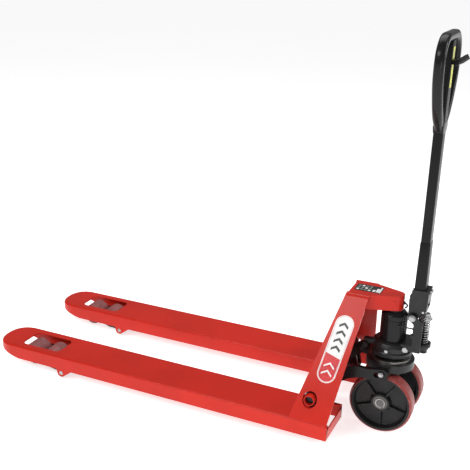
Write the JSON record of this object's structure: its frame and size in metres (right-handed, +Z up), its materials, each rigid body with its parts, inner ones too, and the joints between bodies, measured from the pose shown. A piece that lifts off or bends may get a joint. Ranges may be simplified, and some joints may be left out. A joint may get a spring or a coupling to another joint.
{
  "type": "pallet jack",
  "caption": "Hand pallet truck with channel forks on load rollers, a leaning head frame, a steered hydraulic pump on wheels, and a loop-handled tiller.",
  "frame": {"origin": "on the floor, in the middle of the truck's length and width", "axes": "+X from the fork tips to the tiller, +Y across the truck towards the left fork as named here, +Z up"},
  "size_m": [1.517, 0.548, 1.2333],
  "materials": {
    "red_paint": "glossy red powder coat",
    "black_paint": "gloss black paint",
    "black_cast": "black painted casting",
    "tread": "dark red polyurethane, satin",
    "roller_tread": "dull dark red polyurethane",
    "zinc": "bright zinc plate",
    "steel": "oiled bright steel",
    "chrome_rod": "hard chrome",
    "rubber_seal": "matt",
    "black_plastic": "textured",
    "decal_white": "printed film",
    "panel_black": "printed film",
    "label_yellow": "printed film"
  },
  "bodies": {
    "chassis": {"left_fork": "red_paint", "right_fork": "red_paint", "left_leg": "red_paint", "right_leg": "red_paint", "bulkhead": "red_paint", "head": "red_paint", "heel_plates": "red_paint", "side_labels": "decal_white", "head_label": "panel_black", "head_hook": "black_paint", "shaft_bushings": "red_paint", "lever_axles": "steel", "ram": "chrome_rod", "ram_pin": "steel"},
    "seat": {"bearing_seat": "black_paint", "trunnion_bolts": "zinc", "thrust_bearing": "steel"},
    "pump": {"pump_body": "black_paint", "pump_base": "black_paint", "ram_wiper": "rubber_seal", "valve_plugs": "zinc", "plunger_barrel": "black_paint", "plunger_spring": "steel", "tiller_pivot_pin": "zinc", "wheel_axle": "steel", "axle_circlips": "zinc"},
    "left_wheel": {"left_wheel_core": "black_cast", "left_wheel_tread": "tread", "left_wheel_bearings": "steel"},
    "right_wheel": {"right_wheel_core": "black_cast", "right_wheel_tread": "tread", "right_wheel_bearings": "steel"},
    "plunger_group": {"plunger": "steel", "spring_cap": "zinc"},
    "release_lever": {"release_lever": "black_paint"},
    "tiller": {"tiller_bracket": "black_paint", "bracket_bolts": "zinc", "tiller_tube": "black_paint", "tiller_loop": "black_paint", "tiller_label": "label_yellow", "control_lever_pin": "zinc", "roller_pin": "zinc"},
    "control_lever": {"control_lever": "black_plastic"},
    "presser_roller": {"presser_roller": "zinc"},
    "rocker": {"rocker": "black_paint", "crank_pins": "steel"},
    "left_push_rod": {"left_push_rod": "black_paint"},
    "left_roller_lever": {"left_roller_lever": "black_paint"},
    "left_bogie_pin": {"left_bogie_pin": "steel"},
    "left_bogie": {"left_bogie": "black_paint"},
    "left_front_roller": {"left_front_roller": "roller_tread"},
    "left_rear_roller": {"left_rear_roller": "roller_tread"},
    "right_push_rod": {"right_push_rod": "black_paint"},
    "right_roller_lever": {"right_roller_lever": "black_paint"},
    "right_bogie_pin": {"right_bogie_pin": "steel"},
    "right_bogie": {"right_bogie": "black_paint"},
    "right_front_roller": {"right_front_roller": "roller_tread"},
    "right_rear_roller": {"right_rear_roller": "roller_tread"}
  },
  "joints": [
    {"name": "lift", "type": "slide", "parent": "chassis", "child": "seat", "axis": [0, 0, -1], "range_m": [0, 0.115]},
    {"name": "steer", "type": "hinge", "parent": "seat", "child": "pump", "pos_m": [0.627, 0, 0.2], "axis": [0, 0, 1], "range_deg": [-90, 90]},
    {"name": "left_wheel_spin", "type": "hinge", "parent": "pump", "child": "left_wheel", "pos_m": [0.627, 0.065, 0.1], "axis": [0, 1, 0], "continuous": true},
    {"name": "right_wheel_spin", "type": "hinge", "parent": "pump", "child": "right_wheel", "pos_m": [0.627, -0.065, 0.1], "axis": [0, 1, 0], "continuous": true},
    {"name": "tiller_tilt", "type": "hinge", "parent": "pump", "child": "tiller", "pos_m": [0.688, 0, 0.389], "axis": [0, 1, 0], "range_deg": [0, 75], "stiffness_Nm_per_rad": 18, "springref_deg": -68.75},
    {"name": "presser_spin", "type": "hinge", "parent": "tiller", "child": "presser_roller", "pos_m": [0.71595, 0, 0.41006], "axis": [0, 1, 0], "continuous": true},
    {"name": "plunger_slide", "type": "slide", "parent": "pump", "child": "plunger_group", "axis": [0, 0, -1], "range_m": [0, 0.04281], "deforming": ["plunger_spring"]},
    {"name": "control_lever_tilt", "type": "hinge", "parent": "tiller", "child": "control_lever", "pos_m": [0.724, 0, 1.15], "axis": [0, 1, 0], "range_deg": [-14, 14]},
    {"name": "release_tilt", "type": "hinge", "parent": "pump", "child": "release_lever", "pos_m": [0.553, -0.042, 0.272], "axis": [0, 1, 0], "range_deg": [-14.1, 14.1]},
    {"name": "rocker_swing", "type": "hinge", "parent": "chassis", "child": "rocker", "pos_m": [0.445, 0, 0.144], "axis": [0, 1, 0], "range_deg": [0, 34.93]},
    {"name": "left_rod_pivot", "type": "hinge", "parent": "rocker", "child": "left_push_rod", "pos_m": [0.47013, 0.195, 0.06399], "axis": [0, 1, 0], "range_deg": [-34.93, 0]},
    {"name": "left_lever_swing", "type": "hinge", "parent": "chassis", "child": "left_roller_lever", "pos_m": [-0.467, 0.195, 0.022], "axis": [0, 1, 0], "range_deg": [-67.95, 0]},
    {"name": "left_bogie_level", "type": "hinge", "parent": "left_roller_lever", "child": "left_bogie_pin", "pos_m": [-0.579, 0.195, 0.04], "axis": [0, 1, 0], "range_deg": [0, 67.95]},
    {"name": "left_bogie_rock", "type": "hinge", "parent": "left_bogie_pin", "child": "left_bogie", "pos_m": [-0.579, 0.195, 0.04], "axis": [0, 1, 0], "range_deg": [-8, 8]},
    {"name": "left_front_roller_spin", "type": "hinge", "parent": "left_bogie", "child": "left_front_roller", "pos_m": [-0.6215, 0.195, 0.04], "axis": [0, 1, 0], "continuous": true},
    {"name": "left_rear_roller_spin", "type": "hinge", "parent": "left_bogie", "child": "left_rear_roller", "pos_m": [-0.5365, 0.195, 0.04], "axis": [0, 1, 0], "continuous": true},
    {"name": "right_rod_pivot", "type": "hinge", "parent": "rocker", "child": "right_push_rod", "pos_m": [0.47013, -0.195, 0.06399], "axis": [0, 1, 0], "range_deg": [-34.93, 0]},
    {"name": "right_lever_swing", "type": "hinge", "parent": "chassis", "child": "right_roller_lever", "pos_m": [-0.467, -0.195, 0.022], "axis": [0, 1, 0], "range_deg": [-67.95, 0]},
    {"name": "right_bogie_level", "type": "hinge", "parent": "right_roller_lever", "child": "right_bogie_pin", "pos_m": [-0.579, -0.195, 0.04], "axis": [0, 1, 0], "range_deg": [0, 67.95]},
    {"name": "right_bogie_rock", "type": "hinge", "parent": "right_bogie_pin", "child": "right_bogie", "pos_m": [-0.579, -0.195, 0.04], "axis": [0, 1, 0], "range_deg": [-8, 8]},
    {"name": "right_front_roller_spin", "type": "hinge", "parent": "right_bogie", "child": "right_front_roller", "pos_m": [-0.6215, -0.195, 0.04], "axis": [0, 1, 0], "continuous": true},
    {"name": "right_rear_roller_spin", "type": "hinge", "parent": "right_bogie", "child": "right_rear_roller", "pos_m": [-0.5365, -0.195, 0.04], "axis": [0, 1, 0], "continuous": true}
  ],
  "couplings": [
    {"joint": "plunger_slide", "follows": "tiller_tilt", "m_per_rad": 0.032552},
    {"joint": "release_tilt", "follows": "control_lever_tilt", "ratio": 1},
    {"joint": "rocker_swing", "follows": "lift", "rad_per_m": 5.2932},
    {"joint": "left_rod_pivot", "follows": "lift", "rad_per_m": -5.2932},
    {"joint": "left_lever_swing", "follows": "lift", "rad_per_m": -10.305},
    {"joint": "left_bogie_level", "follows": "lift", "rad_per_m": 10.305},
    {"joint": "right_rod_pivot", "follows": "lift", "rad_per_m": -5.2932},
    {"joint": "right_lever_swing", "follows": "lift", "rad_per_m": -10.305},
    {"joint": "right_bogie_level", "follows": "lift", "rad_per_m": 10.305}
  ]
}
